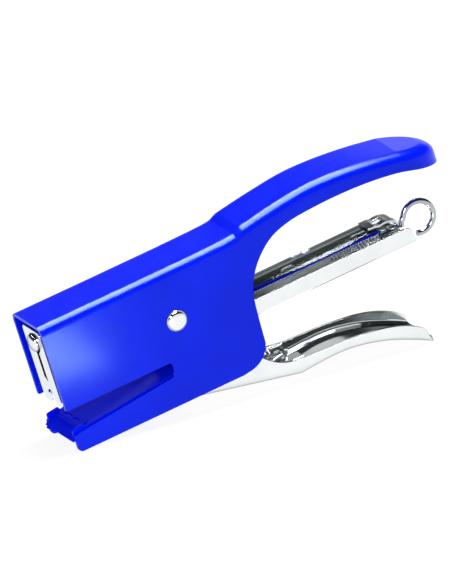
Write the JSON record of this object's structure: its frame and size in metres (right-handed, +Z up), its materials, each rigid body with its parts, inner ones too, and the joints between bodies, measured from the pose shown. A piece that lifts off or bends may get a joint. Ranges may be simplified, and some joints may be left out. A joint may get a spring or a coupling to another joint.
{
  "type": "plier stapler",
  "caption": "Hand-held plier stapler: folded blue body and upper handle, chrome lower handle, hinged magazine with a pull-out follower and ring.",
  "frame": {"origin": "under the middle of the tool's box, on the surface it stands on", "axes": "+Z up; +X from the jaws' nose to the handles' ends; Y across, along the main rivet; the tool stands on its jaw nose and on the end of its lower handle, so its head leans 8.9 degrees"},
  "size_m": [0.1678, 0.0288, 0.0759],
  "materials": {
    "blue_paint": "high-gloss blue enamel on folded steel",
    "dark_blue_paint": "darker blue enamel",
    "chrome": "bright chrome plate",
    "spring_steel": "plated spring steel",
    "dark_steel": "dark polished steel"
  },
  "bodies": {
    "body": {"body_shell": "blue_paint", "anvil_plate": "dark_blue_paint", "jaw_brace": "dark_blue_paint", "anvil_post_left": "spring_steel", "anvil_post_right": "spring_steel", "main_rivet": "chrome", "rivet_washer_left": "dark_steel", "rivet_washer_right": "dark_steel", "spring_strap": "spring_steel", "strap_rivet": "spring_steel", "return_spring": "spring_steel"},
    "lever": {"lower_handle": "chrome", "driver_arm": "chrome", "arm_rivet_left_1": "spring_steel", "arm_rivet_left_2": "spring_steel", "arm_rivet_right_1": "spring_steel", "arm_rivet_right_2": "spring_steel", "spring_hook": "spring_steel"},
    "magazine": {"magazine_channel": "chrome", "staple_core": "spring_steel", "magazine_nose": "chrome", "pivot_bush": "spring_steel", "magazine_cover": "dark_steel", "cover_rivet_1": "spring_steel", "cover_rivet_2": "spring_steel", "end_bracket": "spring_steel"},
    "driver": {"driver_blade": "spring_steel"},
    "follower": {"guide_rod": "chrome", "rod_collar": "chrome", "ring_washer": "spring_steel", "pull_ring": "chrome", "pusher_spring": "spring_steel"},
    "pusher": {"pusher_sleeve": "chrome", "pusher_block": "spring_steel"}
  },
  "joints": [
    {"name": "lever_pivot", "type": "hinge", "parent": "body", "child": "lever", "pos_m": [-0.03069, 0, 0.03839], "axis": [0, -1, 0], "range_deg": [0, 20], "stiffness_Nm_per_rad": 1, "springref_deg": -20.05, "deforming": ["return_spring"]},
    {"name": "magazine_pivot", "type": "hinge", "parent": "body", "child": "magazine", "pos_m": [-0.03069, 0, 0.03839], "axis": [0, -1, 0], "range_deg": [0, 8.2]},
    {"name": "driver_slide", "type": "slide", "parent": "magazine", "child": "driver", "axis": [0.1545, 0, -0.988], "range_m": [0, 0.01]},
    {"name": "follower_slide", "type": "slide", "parent": "magazine", "child": "follower", "axis": [0.988, 0, 0.1545], "range_m": [0, 0.105]},
    {"name": "pusher_slide", "type": "slide", "parent": "follower", "child": "pusher", "axis": [0.988, 0, 0.1545], "range_m": [0, 0.011], "stiffness_N_per_m": 90, "springref_m": -0.012, "deforming": ["pusher_spring"]}
  ],
  "couplings": [
    {"joint": "magazine_pivot", "follows": "lever_pivot", "ratio": 0.41},
    {"joint": "driver_slide", "follows": "lever_pivot", "m_per_rad": 0.0284}
  ]
}
